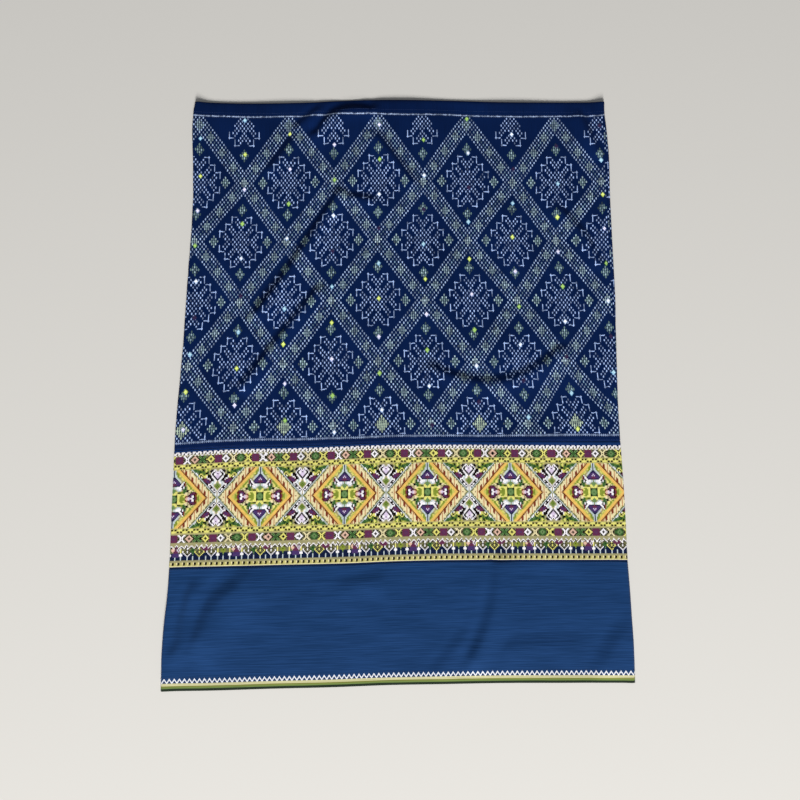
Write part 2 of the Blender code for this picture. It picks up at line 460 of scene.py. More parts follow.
# The rows of the pattern: how far up from the band seam to the waist edge each lies.
TOP_LINE_ROW = 27
BOTTOM_LINE_ROW = -101
Rise = namedtuple("Rise", "row share")
RISES = (
    Rise(-103.5, 0.0000),
    Rise(-101.0, 0.0165),
    Rise(-96.0, 0.0490),
    Rise(-72.0, 0.2212),
    Rise(-48.0, 0.3954),
    Rise(-24.0, 0.5712),
    Rise(0.0, 0.7481),
    Rise(23.0, 0.9257),
    Rise(27.0, 0.9545),
    Rise(33.5, 1.0000),
)
row_share = smooth_curve(RISES, "share")
body_edges = np.arange(RISES[0].row, RISES[-1].row + 1)
body_rows = ring_rows(SEAM_TURN, row_share(body_edges), HEM_TURN)
TURNED_STEP = 0.2
body_levels = ring_levels(SEAM_TURN, body_edges, HEM_TURN, TURNED_STEP)
body_columns = ring_columns(STAR_COLUMNS[0], SEAM_COLUMN)

# The pattern sags by a millimetre or two across the front, from column to column.
SAG_COLUMNS = (-120, -96, -48, 0, 48, 96, 120)
SAGS = (0.0015, 0.0024, 0.0017, -0.0004, -0.0022, -0.0006, 0.0)

# Threads slip along their length while they are woven, so each column of marks stands
# a little high or low of the next, and groups of columns waver together.
SLIP = 0.00036
WAVER_HEIGHT = 0.0011
BODY_HEIGHT = 0.62
EDGE_EASE = 0.25
Waver = namedtuple("Waver", "by_column by_share start part")
BODY_WAVERS = (Waver(0.21, 0, 0.6, 0.4), Waver(0.083, 5, 0, 0.6))
thread_luck = np.random.default_rng(11)
column_slip = thread_luck.normal(0, SLIP, COLUMNS_ROUND + 2)


def waver_sum(wavers, column, share):
    """The sum of some slow waves that run round a ring of cloth, between -1 and 1."""
    return sum(w.part * np.sin(column * w.by_column + share * w.by_share + w.start)
               for w in wavers)


def body_wander(column, share):
    """How far a column of threads has slipped up or down, as a share of the height."""
    own = np.interp(column, STAR_COLUMNS[0] + np.arange(COLUMNS_ROUND + 2), column_slip)
    waver = WAVER_HEIGHT * waver_sum(BODY_WAVERS, column, share)
    sag = np.interp(column, SAG_COLUMNS, SAGS)
    return (own + waver + sag) / BODY_HEIGHT * np.sin(math.pi * share) ** EDGE_EASE


body_points = ring_points(body_columns, body_rows, body_run, "band_seam", "waist", body_wander)
body_mesh = ring_mesh(
    "tie_dyed_body", body_points, body_columns, SEAM_COLUMN, body_run, body_levels
)

# At the top, the lattice ends in points that each hold a flower, and between them hang
# half stars. This is a half star's right side, from its top row down.
TOP_FLOWER = 23
HALF_STAR = """
o.o......
.o.o.....
o.o.o....
.o.o.o...
o.o.o....
.o.o.o...
o...o.o.|
.o...o..|
o.o...--+
.o.o.|...
..o..|...
...--+...
.........
""".split()
HALF_STAR_TOP = 26
HALF_STAR_BOTTOM = HALF_STAR_TOP + 1 - len(HALF_STAR)
# Above this row stand only the half stars and the lattice's points.
LAST_WHOLE_ROW = 20
# The last stars are cut short by the band's seam, and their hearts are dyed whole.
HEART_TOP = -89
HEART_REACH = 3


def star_mark(sign):
    """The mark that a sign in a star's chart stands for."""
    form = {"o": "dot", "|": "upright", "-": "level", "+": "corner"}.get(sign)
    return ("star", form) if form else None


def top_mark(aside, row):
    """The mark in the rows nearest the waist, where stars and leaves leave off."""
    dotted = (aside + row) % 2 == 0
    if aside + abs(row - TOP_FLOWER) <= DIAMOND_REACH:
        return ("flower_dot", "dot") if dotted else ("flower", "whole")
    across = HALF_REPEAT - aside
    line = HALF_STAR_TOP - row
    if across < len(HALF_STAR[0]) and 0 <= line < len(HALF_STAR):
        return star_mark(HALF_STAR[line][across])
    if LATTICE_REACH <= aside + row <= REPEAT - LATTICE_REACH and dotted:
        return "edge", "dot"
    return None


def tied_mark(column, row):
    """The mark at one cell of the pattern, as its dye and its form: a dot, an upright
    line, a level line, or a whole cell in the flowers."""
    if row > TOP_LINE_ROW or row < BOTTOM_LINE_ROW:
        return None
    if row in (TOP_LINE_ROW, BOTTOM_LINE_ROW):
        return "line", "line" if row == TOP_LINE_ROW else "dash"
    aside = abs((column + HALF_REPEAT) % REPEAT - HALF_REPEAT)
    above = abs((row + HALF_REPEAT) % REPEAT - HALF_REPEAT)
    by_half_star = row >= HALF_STAR_BOTTOM and HALF_REPEAT - aside < len(HALF_STAR[0])
    if row > LAST_WHOLE_ROW or by_half_star:
        mark = top_mark(aside, row)
        if mark or row > LAST_WHOLE_ROW:
            return mark
    if aside + above > HALF_REPEAT:
        aside, above = HALF_REPEAT - aside, HALF_REPEAT - above
    dotted = (aside + above) % 2 == 0
    if row < HEART_TOP and aside + above <= HEART_REACH:
        return "heart", "whole"
    for dye, far_aside, far_above in DIAMONDS:
        if abs(aside - far_aside) + abs(above - far_above) <= DIAMOND_REACH:
            if row >= HALF_STAR_BOTTOM and (dye, far_above) == ("leaf", 0):
                return None
            return (dye + "_dot", "dot") if dotted else (dye, "whole")
    if aside + above >= LATTICE_REACH:
        dye = "middle" if aside + above == HALF_REPEAT else "edge"
        return (dye, "dot") if dotted else None
    if row < HALF_STAR_BOTTOM and above < len(STAR_QUARTER) and aside < len(STAR_QUARTER[0]):
        return star_mark(STAR_QUARTER[-1 - above][aside])
    return None


DYES = {
    "line": "#acbfe0",
    "star": "#9db4de",
    "edge": "#9cb2d2",
    "middle": "#7893a6",
    "flower": "#72898e",
    "flower_dot": "#a4bac6",
    "crossing": "#8aa0a4",
    "crossing_dot": "#b6cbd4",
    "leaf": "#67827c",
    "leaf_dot": "#a1bac0",
    "heart": "#b2c4ac",
}
# A mark's form, as how much of it is a dot, an upright line and a level line.
FORMS = {
    "dot": (1, 0, 0),
    "upright": (0, 1, 0),
    "level": (0, 0, 1),
    "corner": (0, 1, 1),
    "whole": (0.5, 1, 0.45),
    "dash": (0, 0.45, 0.5),
    "line": (0.25, 0.25, 1),
}
# How well the threads of a column were tied, and how well one tie of them held: the
# share of a mark's own colour that stayed.
COLUMN_TAKE = (0.86, 1.14)
TIE_TAKE = (0.52, 1.38)
LINE_TAKE = (0.30, 1.20)
# A few of the ties let the indigo in, and left hardly a mark.
FAINT_SHARE = 0.07
FAINT_TAKE = 0.4
ROUNDING = 1e-6


def cells(places):
    """The cell that each place lies in. A cell's middle is a whole number."""
    return np.floor(places + 0.5 + ROUNDING).astype(int)


dye_of = {name: np.array(linear(colour)[:3]) for name, colour in DYES.items()}
cells_across = cells(body_columns)
cells_up = cells(0.5 * (body_levels[:-1] + body_levels[1:]))
dyes = np.zeros((len(cells_up), len(cells_across), 3))
forms = np.zeros_like(dyes)
column_take = thread_luck.uniform(*COLUMN_TAKE, (COLUMNS_ROUND + 2, 3)).mean(axis=1)
take = thread_luck.uniform(*TIE_TAKE, dyes.shape[:2])
faint = np.where(thread_luck.random(take.shape) < FAINT_SHARE, FAINT_TAKE, 1.0)
for j in range(len(SEAM_TURN), len(cells_up) - len(HEM_TURN)):
    for i, column in enumerate(cells_across):
        mark = tied_mark(int(column), int(cells_up[j]))
        if not mark:
            continue
        kept = take[j, i]
        if mark[0] != "line":
            kept = kept * faint[j, i]
        elif mark[1] == "line":
            kept = np.interp(kept, TIE_TAKE, LINE_TAKE)
        dyes[j, i] = dye_of[mark[0]] * column_take[column - cells_across[0]] * kept
        forms[j, i] = FORMS[mark[1]]
paint(body_mesh, "dye", dyes.reshape(-1, 3))
paint(body_mesh, "form", forms.reshape(-1, 3))

# Indigo-dyed cotton, plain woven from fine yarn: matt, with a faint sheen. Its threads
# are drawn 1.1 mm apart, coarser than in such a cloth, so that they show as grain.
INDIGO = "#061e4b"
INDIGO_DEEP = "#021336"
COTTON_IOR = 1.47
CLOTH_GLOSS = 0.04
THREADS_A_CELL = 3
WEFTS_A_CELL = 4
# How often the grain, the fraying of a thread and the clouds of the dye change, a cell.
GRAINS_A_CELL = (THREADS_A_CELL, 0.12, 1)
FRAYS_A_CELL = 0.6
CLOUDS_A_CELL = 0.045
# How far the ends of a mark stray, in cells, and how the grain shades the cloth.
FRAY = 0.7
GRAIN_SHADE = (0.80, 1.20)


def cloth_material(name, roughness, gloss, sheen=0.0, sheen_roughness=0.5):
    """A new material for cotton yarn: its tree, and its shader with its finish set."""
    material = bpy.data.materials.new(name)
    material.use_nodes = True
    shader = material.node_tree.nodes["Principled BSDF"]
    for socket, value in (("Roughness", roughness), ("IOR", COTTON_IOR),
                          ("Specular IOR Level", gloss), ("Sheen Weight", sheen),
                          ("Sheen Roughness", sheen_roughness)):
        shader.inputs[socket].default_value = value
    return material, material.node_tree, shader


indigo, tree, shader = cloth_material("indigo cotton, tied and plain woven", roughness=0.72,
                                      gloss=CLOTH_GLOSS, sheen=0.01, sheen_roughness=0.45)
woven = add_node(tree, "ShaderNodeUVMap", uv_map="woven")
column, row, _ = add_node(tree, "ShaderNodeSeparateXYZ", [woven], out=None)
dye = add_node(tree, "ShaderNodeAttribute", attribute_name="dye")
form = add_node(tree, "ShaderNodeAttribute", attribute_name="form")
dotted, lined, levelled = add_node(tree, "ShaderNodeSeparateColor", [form], out=None)
# Each thread's marks end a little higher or lower than the next one's.
thread = add_node(tree, "ShaderNodeMath", [column, THREADS_A_CELL], operation="MULTIPLY")
thread = add_node(tree, "ShaderNodeMath", [thread], operation="FLOOR")
slide = add_node(tree, "ShaderNodeMath", [row, FRAYS_A_CELL], operation="MULTIPLY")
thread_place = add_node(tree, "ShaderNodeCombineXYZ", [thread, slide])
fray = add_node(tree, "ShaderNodeTexNoise", {"Vector": thread_place, "Scale": 1.0},
                noise_dimensions="2D")
fray = add_node(tree, "ShaderNodeMath", [fray, 0.5], operation="SUBTRACT")
fray = add_node(tree, "ShaderNodeMath", [fray, FRAY], operation="MULTIPLY")
# How far off the middle of its cell a point is, sideways and up, in cells.
offs = []
for off, shift in ((column, 0.0), (row, fray)):
    for operation, amount in (("ADD", 0.5), ("FRACT", 0.0), ("SUBTRACT", 0.5),
                              ("ADD", shift), ("ABSOLUTE", 0.0)):
        off = add_node(tree, "ShaderNodeMath", [off, amount], operation=operation)
    offs.append(off)
off_side, off_level = offs
# Each form of mark: what it is off, where its soft edge starts and ends, and its place
# in the form attribute.
shown = 0.0
for distances, share in (
    (((off_side, 0.17, 0.38), (off_level, 0.25, 0.49)), dotted),
    (((off_side, 0.12, 0.28),), lined),
    (((off_level, 0.08, 0.24),), levelled),
):
    for distance, start, end in distances:
        edge = add_node(tree, "ShaderNodeMapRange", [distance, start, end, 1.0, 0.0],
                        interpolation_type="SMOOTHSTEP")
        share = add_node(tree, "ShaderNodeMath", [share, edge], operation="MULTIPLY")
    shown = add_node(tree, "ShaderNodeMath", [shown, share], operation="MAXIMUM")
cloud = add_node(tree, "ShaderNodeTexNoise",
                 {"Vector": woven, "Scale": CLOUDS_A_CELL, "Detail": 3.0},
                 noise_dimensions="2D")
ground = add_node(tree, "ShaderNodeMix", {
    0: cloud, 6: linear(INDIGO_DEEP), 7: linear(INDIGO)}, out=2, data_type="RGBA")
grain_place = add_node(tree, "ShaderNodeMapping", {"Vector": woven, "Scale": GRAINS_A_CELL})
grain = add_node(tree, "ShaderNodeTexNoise", {"Vector": grain_place, "Scale": 1.0, "Detail": 1.0},
                 noise_dimensions="2D")
shade = add_node(tree, "ShaderNodeMapRange", [grain, 0.0, 1.0, *GRAIN_SHADE])
ground = add_node(tree, "ShaderNodeMix", {0: 1.0, 6: ground, 7: shade}, out=2,
                  data_type="RGBA", blend_type="MULTIPLY")
colour = add_node(tree, "ShaderNodeMix", {0: shown, 6: ground, 7: dye}, out=2,
                  data_type="RGBA")
tree.links.new(colour, shader.inputs["Base Color"])
rib = 0.0
for place, count in ((column, THREADS_A_CELL), (row, WEFTS_A_CELL)):
    turn = add_node(tree, "ShaderNodeMath", [place, 2 * math.pi * count], operation="MULTIPLY")
    wave = add_node(tree, "ShaderNodeMath", [turn], operation="SINE")
    rib = add_node(tree, "ShaderNodeMath", [rib, wave], operation="ADD")
bump = add_node(tree, "ShaderNodeBump", {"Strength": 0.25, "Distance": 0.0002, "Height": rib})
tree.links.new(bump, shader.inputs["Normal"])

tie_dyed_body = add_piece(body_mesh, indigo)
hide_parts("body_cloth")

# ------------------------------------------------------------------ the inlaid spots
# Small lozenges of soft spun cotton, brightly dyed and about 7 mm wide. Each is five
# floats that are laid in by hand as the body is woven, on a slightly larger lozenge in
# a deeper yarn that shows as a thin rim round it.

# A line of spots runs up the body every half repeat. Their colours take turns down the
# line, in the order below, and the first colour climbs from each line to the next.
SPOT_DYES = ("#e2ef86", "#ebe6f6", "#a9cf74", "#f4f6fc", "#2f2142", "#b4d9e8")
RIM_DYES = ("#7d9426", "#6f7fb0", "#56832a", "#7d9cc4", "#1f1d45", "#5586ac")
SPOT_LINES = range(-13, 6)
SPOTS_A_SIDE = 24
SPOT_ROW_STEP = 14.13
FIRST_DYE_ROW = 36.3
FIRST_DYE_CLIMB = 8.45

# A spot is left out where the cloth bends too much within its reach, in cells.
SPOT_REACH = 2
SPOT_BEND = 0.0010
SPOT_SHIFT = 0.0006
SPOT_SIZE, SPOT_SPREAD = 0.84, 0.10
RIM_SIZE, RIM_SPREAD = 1.20, 0.05
RIM_SINK = 0.00030
SIZE_SEED = 5

FLOAT_HALF_LENGTHS = (0.0012, 0.0030, 0.0044, 0.0030, 0.0012)
FLOAT_PITCH = 0.0017
FLOAT_HALF_WIDTH = 0.55 * FLOAT_PITCH
FLOAT_HEIGHT = 0.0006
FLOAT_SINK = 0.0001
# A float's sections: how far along its half length each is, and how plump it is there.
FLOAT_SECTIONS = ((-1.0, 0.1), (-0.6, 1.0), (0.6, 1.0), (1.0, 0.1))
ARC_POINTS = 5

spot_verts, spot_faces = [], []
for k, half_length in enumerate(FLOAT_HALF_LENGTHS):
    middle = (k - len(FLOAT_HALF_LENGTHS) // 2) * FLOAT_PITCH
    for section, (along, plump) in enumerate(FLOAT_SECTIONS):
        for turn in range(ARC_POINTS):
            angle = math.pi * turn / (ARC_POINTS - 1)
            corner = len(spot_verts)
            spot_verts.append((along * half_length, middle - math.cos(angle) * FLOAT_HALF_WIDTH,
                               math.sin(angle) * FLOAT_HEIGHT * plump - FLOAT_SINK))
            if section and turn:
                back = corner - ARC_POINTS
                spot_faces.append((back - 1, corner - 1, corner, back))
lozenge_mesh = bpy.data.meshes.new("lozenge")
lozenge_mesh.from_pydata(spot_verts, [], spot_faces)
lozenge_mesh.shade_smooth()
lozenge = bpy.data.objects.new("lozenge", lozenge_mesh)


def body_place(column, row):
    """The point of the body's outer face at a column and row, its normal, the way that
    the columns run, and how far the cloth bends away from flat within a spot's reach."""
    around = len(body_columns)
    j = len(SEAM_TURN) + np.searchsorted(body_edges, row) - 1
    i = np.searchsorted(body_columns, column) % around
    here = body_points[j, i]
    left, right = (body_points[j, (i + step) % around] for step in (-SPOT_REACH, SPOT_REACH))
    normal = np.cross(right - left, body_points[j + SPOT_REACH, i] - here)
    normal = normal / np.linalg.norm(normal)
    bend = max(abs(float((end - here) @ normal)) for end in (left, right))
    return here, normal, (right - left) / np.linalg.norm(right - left), bend


def repeat_along(name, places, shape, material, size, size_spread):
    """Puts a copy of a small shape at each place, which is a point, the way that it
    faces, the way that it runs and a colour, and returns them as one plain mesh."""
    points = bpy.data.meshes.new(name + "_places")
    points.from_pydata([tuple(place[0]) for place in places], [], [])
    for k, (label, kind, field) in enumerate((("facing", "FLOAT_VECTOR", "vector"),
                                              ("along", "FLOAT_VECTOR", "vector"),
                                              ("dye", "FLOAT_COLOR", "color"))):
        values = np.array([place[k + 1] for place in places], dtype=np.float32)
        points.attributes.new(label, kind, "POINT").data.foreach_set(field, values.ravel())
    tree = bpy.data.node_groups.new(name, "GeometryNodeTree")
    tree.interface.new_socket("Geometry", in_out="INPUT", socket_type="NodeSocketGeometry")
    tree.interface.new_socket("Geometry", in_out="OUTPUT", socket_type="NodeSocketGeometry")
    for label in ("Size", "Size spread"):
        tree.interface.new_socket(label, in_out="INPUT", socket_type="NodeSocketFloat")
    given, middle, spread, _ = add_node(tree, "NodeGroupInput", out=None)
    small = add_node(tree, "ShaderNodeMath", [middle, spread], operation="SUBTRACT")
    large = add_node(tree, "ShaderNodeMath", [middle, spread], operation="ADD")
    scale = add_node(tree, "FunctionNodeRandomValue",
                     {2: small, 3: large, "Seed": SIZE_SEED}, out=1, data_type="FLOAT")
    facing, along = (add_node(tree, "GeometryNodeInputNamedAttribute", [label],
                              data_type="FLOAT_VECTOR") for label in ("facing", "along"))
    upright = add_node(tree, "FunctionNodeAlignRotationToVector", {"Vector": facing}, axis="Z")
    turned = add_node(tree, "FunctionNodeAlignRotationToVector",
                      {"Rotation": upright, "Vector": along}, axis="X", pivot_axis="Z")
    source = add_node(tree, "GeometryNodeObjectInfo", [shape], out="Geometry")
    placed = add_node(tree, "GeometryNodeInstanceOnPoints",
                      {"Points": given, "Instance": source, "Rotation": turned, "Scale": scale})
    real = add_node(tree, "GeometryNodeRealizeInstances", [placed])
    done = add_node(tree, "GeometryNodeSetMaterial", {"Geometry": real, "Material": material})
    add_node(tree, "NodeGroupOutput", [done], out=None)
    holder = bpy.data.objects.new(name, points)
    bpy.context.scene.collection.objects.link(holder)
    modifier = holder.modifiers.new(name, "NODES")
    modifier.node_group = tree
    sizes = {"Size": size, "Size spread": size_spread}
    for item in tree.interface.items_tree:
        if item.in_out == "INPUT" and item.name in sizes:
            modifier[item.identifier] = sizes[item.name]
    bpy.context.view_layer.update()
    seen = holder.evaluated_get(bpy.context.evaluated_depsgraph_get())
    mesh = bpy.data.meshes.new_from_object(seen)
    holder.modifiers.remove(modifier)
    bpy.data.objects.remove(holder)
    mesh.name = name
    return mesh


spot_luck = np.random.default_rng(31)
spot_places, rim_places = [], []
for line in SPOT_LINES:
    for k in range(-SPOTS_A_SIDE, SPOTS_A_SIDE):
        row = FIRST_DYE_ROW + FIRST_DYE_CLIMB * line - k * SPOT_ROW_STEP
        if BOTTOM_LINE_ROW + 1 < row < TOP_LINE_ROW - 1:
            place, normal, along, bend = body_place(line * HALF_REPEAT, row)
            if bend > SPOT_BEND:
                continue
            place = place + SPOT_SHIFT * spot_luck.uniform(-1, 1) * along
            spot, rim = linear(SPOT_DYES[k % len(SPOT_DYES)]), linear(RIM_DYES[k % len(RIM_DYES)])
            spot_places.append((place, normal, along, spot))
            rim_places.append((place - normal * RIM_SINK, normal, along, rim))

# Soft spun cotton yarn, brightly dyed: matt, and a little fuzzy, with fibres drawn about
# half a millimetre thick.
FIBRES_A_METRE = 1800.0
FIBRE_SHADE = (0.85, 1.15)
bright_cotton, tree, shader = cloth_material("bright inlaid cotton yarn", roughness=0.70,
                                             gloss=CLOTH_GLOSS, sheen=0.10)
dye = add_node(tree, "ShaderNodeAttribute", attribute_name="dye")
place = add_node(tree, "ShaderNodeTexCoord", out="Object")
fibres = add_node(tree, "ShaderNodeTexNoise",
                  {"Vector": place, "Scale": FIBRES_A_METRE, "Detail": 1.0})
shade = add_node(tree, "ShaderNodeMapRange", [fibres, 0.0, 1.0, *FIBRE_SHADE])
colour = add_node(tree, "ShaderNodeMix", {0: 1.0, 6: dye, 7: shade}, out=2,
                  data_type="RGBA", blend_type="MULTIPLY")
tree.links.new(colour, shader.inputs["Base Color"])
bump = add_node(tree, "ShaderNodeBump", {"Strength": 0.3, "Distance": 0.0002, "Height": fibres})
tree.links.new(bump, shader.inputs["Normal"])

spot_mesh = repeat_along("inlaid_spots", spot_places, lozenge, bright_cotton,
                         SPOT_SIZE, SPOT_SPREAD)
rim_mesh = repeat_along("spot_rims", rim_places, lozenge, bright_cotton, RIM_SIZE, RIM_SPREAD)
inlaid_spots = add_piece(spot_mesh, bright_cotton)
spot_rims = add_piece(rim_mesh, bright_cotton)

# ------------------------------------------------------------------ the patterned band
# A band woven with a supplementary weft of coloured cotton floats on navy, sewn to the
# body's lower edge. Its side seam is in line with the body's. A cell of the pattern is
# 1.7 mm across, and one diamond repeats every 80 cells.

# The yarns, each by the letter that stands for it in the charts below.
YARNS = {
    "n": "#0d1836", "u": "#153263", "v": "#43305f", "m": "#5c2a46",
    "r": "#74321f", "R": "#4d260c", "t": "#b98a60", "b": "#100b08",
    "d": "#45412f", "D": "#6f6824", "w": "#ece8ea", "s": "#b9c4c4",
    "p": "#cfbfd6", "i": "#d8b29c", "g": "#36592c", "h": "#64814f",
    "o": "#7a8730", "l": "#d8d272", "c": "#dccfa0", "q": "#6c6a47",
    "k": "#979168", "K": "#b0a867", "y": "#beb658", "Y": "#deb15c",
}
SCALLOPS = """
nwwwnnwwwn
wwbwwbwwbw
wkbwkbwkbw
kwkkwwkkwk
""".split()
DOTTED_STRIPE = """
KKKKKKKKKK
bbKbbKllll
bDlbDlllll
lllllbDlbD
llllKbbKbb
KKKKKKKKKK
""".split()
FOOT_STRIPE = """
kkkkk
kkkkk
KcbbK
KcbbK
KKbDK
kkkkk
""".split()
# Blocks are 7 cells square, and the same both ways from their middle, so each is given
# as its upper left quarter with the middle. A star marks the block's own yarn.
BLOCK_CELLS = 7
BLOCK_FORMS = {
    "cross": "**bq b**b qb** bb*b".split(),
    "lozenge": "qbb* qb** b**b **bb".split(),
    "green cross": "ghbb hghb bhgg bbgg".split(),
    "green lozenge": "qbgg bggh gghh ghhb".split(),
    "solid": "mmmm mmmm mmmv mmvr".split(),
}
BLOCKS = (("cross", "w"), ("lozenge", "i"), ("green cross", "h"), ("lozenge", "l"),
          ("solid", "m"), ("lozenge", "w"), ("cross", "c"), ("green lozenge", "h"),
          ("cross", "l"), ("solid", "m"))
# A diamond's upper right quarter, from its middle column out and its top row down.
DIAMOND_PITCH = 80
DIAMOND_MIDDLE = 24
DIAMOND_QUARTER = """
nsy
nsoy
nsooy
nsoooy
nssooyy
nssoolyy
nnssookyy
vnnsskklyy
vvvnsskklyy
pvvvnsckkoyy
vpvvvnskkwroy
mmvvvvnkwbrkoy
mmmvvvnwwbrkooy
mnnnnnwwbvrklooy
ksswwwwbbwbgklooy
hsswwwwwbwggkllooy
hhksswwsgggbkllooyy
hhhksssikgghbbkclooy
hhllkoooogggbbcckckyy
hlllbbbooggcckkkbbmmry
lllkllllllccckibmmmmbry
ggbblllooollikbmvvmbrryy
hhgbllooollrrmbmvwwbroyoy
hhhglloooooriipmmwwbmrooyy
ghhglloooooiipppwwbbmrooyyy
""".split()
# The rings round that quarter, from the inside out, and where the first one is. Each
# gives the yarns that take turns along it, so that flame-like dashes stand round it.
RING_START = 27
DASH_START = 2
RINGS = """
YYYYYY YYYYYY YYYYYY RRRRRR rrrttt rrcctc rrcctc
rrcctc cccctc cccctc cccctc qcqqoc qqqqqq ssssss
""".split()
# The figure between two diamonds, from its own middle column out and its top row down.
CROSS_QUARTER = """
kkkkkkkyyoolooboyyoogggg
kkwwbbbkkollkbboggggggg
bwbwwbbbkgologggbgghgg
wppbbwbkkbbbogoggbhgw
bpwwbbwkkgbbggollgbw
ppwwbbwbbblloolbblk
pppbbwbbbbwlllblbl
ppbbwwbbbbwllblwb
pbbwwbbbwwmmmbbb
bbwwbbbwmmmmmmb
bwwsbbbmmvvmmb
kcwsswbmvvmmb
hkwwsswbmmbb
ohkcsswwwbb
gohkswbbwb
ogokwbbwb
gokwbbbb
okwbwwb
kwbbwb
wbwwb
kwbb
kws
kw
k
""".split()
# The fringe: figures 5.5 cells apart under a zigzag line, each with a thin stem from its
# foot down. A dot leaves what is under it, and a star marks the figure's own yarn.
FRINGE_FORMS = {
    "ball": """
...........
.....w.....
.....l.....
.....l.....
.....l.....
.....l.....
.....w.....
....www....
....www....
""".split(),
    "lozenge": """
...........
.....*.....
.....*.....
....bbb....
.*.bq*qb.*.
.*bqd*dqb*.
..*bqdqb*..
...*bbb*...
....*b*....
.....*.....
""".split(),
    "leaf": """
...........
.....*.....
....***....
...**b**...
...*****...
....***....
.....*.....
.....h.....
...........
""".split(),
    "block": """
.*********.
.*********.
..*******..
...*****...
....*b*....
.....b.....
...........
...........
...........
""".split(),
    "tower": """
...mm.mm...
..i.mmm.p..
.iii.m.p.p.
.iiimmmp.p.
..immmmmp..
...mmmmm...
..*******..
..*******..
..*******..
..***.***..
""".split(),
}
FRINGE = ((0, "ball", "w"), (6, "tower", "v"), (11, "ball", "w"), (17, "lozenge", "w"),
          (22, "leaf", "g"), (28, "lozenge", "l"), (34, "block", "m"), (39, "lozenge", "w"),
          (45, "ball", "w"), (50, "leaf", "o"))
STEM = ".....s....."
FRINGE_LINES = 13
FRINGE_GROUND = "kkkdddqqqqnnnnnnn"
FRINGE_REPEAT = 56
# The figures start this many lines down. They stand a little closer than the columns
# do, and are in step with them at the pin.
FRINGE_HANG = 4
FRINGE_STRETCH = 0.988
FRINGE_PIN = 52
FRINGE_START = 21
fringe = [list(line * FRINGE_REPEAT) for line in FRINGE_GROUND]
for centre, kind, yarn in FRINGE:
    form = FRINGE_FORMS[kind] + [STEM] * (FRINGE_LINES - len(FRINGE_FORMS[kind]))
    for line, signs in enumerate(form, FRINGE_HANG):
        for k, sign in enumerate(signs, centre - len(STEM) // 2):
            if sign != ".":
                fringe[line][k % FRINGE_REPEAT] = yarn if sign == "*" else sign


def chart_yarn(chart):
    """Returns the function that reads the yarn of a cell from a chart that repeats."""
    return lambda column, row: chart[row][column % len(chart[0])]


def block_row(first, pitch):
    """Returns the function that reads a row of blocks, which starts at a column and has
    a pitch that need not be a whole number of cells."""

    def read(column, row):
        place, cell = divmod(column - first, pitch)
        kind, yarn = BLOCKS[int(place) % len(BLOCKS)]
        last = BLOCK_CELLS - 1
        across = min(int(cell / pitch * BLOCK_CELLS), last)
        sign = BLOCK_FORMS[kind][min(row, last - row)][min(across, last - across)]
        return yarn if sign == "*" else sign

    return read


def diamond_yarn(column, row):
    """The diamonds, each in its rings, and the figures between them."""
    half = DIAMOND_PITCH // 2
    aside = abs((column + half) % DIAMOND_PITCH - half)
    line = DIAMOND_MIDDLE - abs(row - DIAMOND_MIDDLE)
    ring = aside + DIAMOND_MIDDLE - line - RING_START
    if ring < 0:
        return DIAMOND_QUARTER[line][aside]
    if ring < len(RINGS):
        return RINGS[ring][(aside + DASH_START) % len(RINGS[ring])]
    return CROSS_QUARTER[line][half - aside]


# The zigzag over the fringe, in cells: its pitch, one of its peaks, the row of its peaks,
# how far it falls between them, and how far its yarn reaches from its line.
ZIGZAG_CELLS = 4.52
ZIGZAG_PEAK = -171.7
ZIGZAG_TOP_ROW = 2
ZIGZAG_FALL = 3.2
ZIGZAG_REACH = 0.55


def fringe_yarn(column, row):
    """A zigzag line over the hanging figures, and plain above it."""
    share = abs(((column - ZIGZAG_PEAK) / ZIGZAG_CELLS + 0.5) % 1 - 0.5) * 2
    line = ZIGZAG_TOP_ROW + ZIGZAG_FALL * share
    if abs(row - line) < ZIGZAG_REACH:
        return "w"
    place = round((column - FRINGE_PIN) / FRINGE_STRETCH) + FRINGE_PIN + FRINGE_START
    return "k" if row < line else fringe[row][place % FRINGE_REPEAT]


# The band from its top seam down: how many rows each part has, and how high it is.
Section = namedtuple("Section", "rows height yarn_at")
SECTIONS = (
    Section(1, 0.0042, chart_yarn("u")),
    Section(4, 0.0073, chart_yarn(SCALLOPS)),
    Section(7, 0.0132, block_row(-161.1, 7.13)),
    Section(6, 0.0094, chart_yarn(DOTTED_STRIPE)),
    Section(49, 0.0962, diamond_yarn),
    Section(6, 0.0094, chart_yarn(DOTTED_STRIPE)),
    Section(1, 0.0017, chart_yarn("k")),
    Section(7, 0.0124, block_row(-162.3, 7.24)),
    Section(17, 0.0285, fringe_yarn),
    Section(6, 0.0100, chart_yarn(FOOT_STRIPE)),
    Section(1, 0.0018, chart_yarn("n")),
)
# Where the diamonds' middles lie across the front, and the seam's place past them.
BAND_SEAM_COLUMN = 200.5
BAND_COLUMNS_ROUND = 868
BAND_COLUMNS = (BAND_SEAM_COLUMN - BAND_COLUMNS_ROUND, -240, -160, -80, 0, 80, 160,
                BAND_SEAM_COLUMN)
BAND_PLACES = (-0.3700, -0.2303, -0.0922, 0.0440, 0.1810, 0.3187, 0.3890)


def steady(place):
    """The curve of a place that is as far from the middle line at every height."""
    return lambda y: place + 0 * y


BAND_TURN = SEAM_TURN[:-1]
band_run = run_reader(BAND_COLUMNS, [steady(place) for place in BAND_PLACES])
band_heights = np.concatenate([np.full(s.rows, s.height / s.rows) for s in SECTIONS])
band_shares = np.concatenate([[0], np.cumsum(band_heights[::-1])]) / band_heights.sum()
band_rows = ring_rows(BAND_TURN, band_shares, BAND_TURN)
band_levels = ring_levels(BAND_TURN, np.arange(len(band_shares), dtype=float), BAND_TURN,
                          TURNED_STEP)
band_columns = ring_columns(BAND_COLUMNS[0], BAND_SEAM_COLUMN)

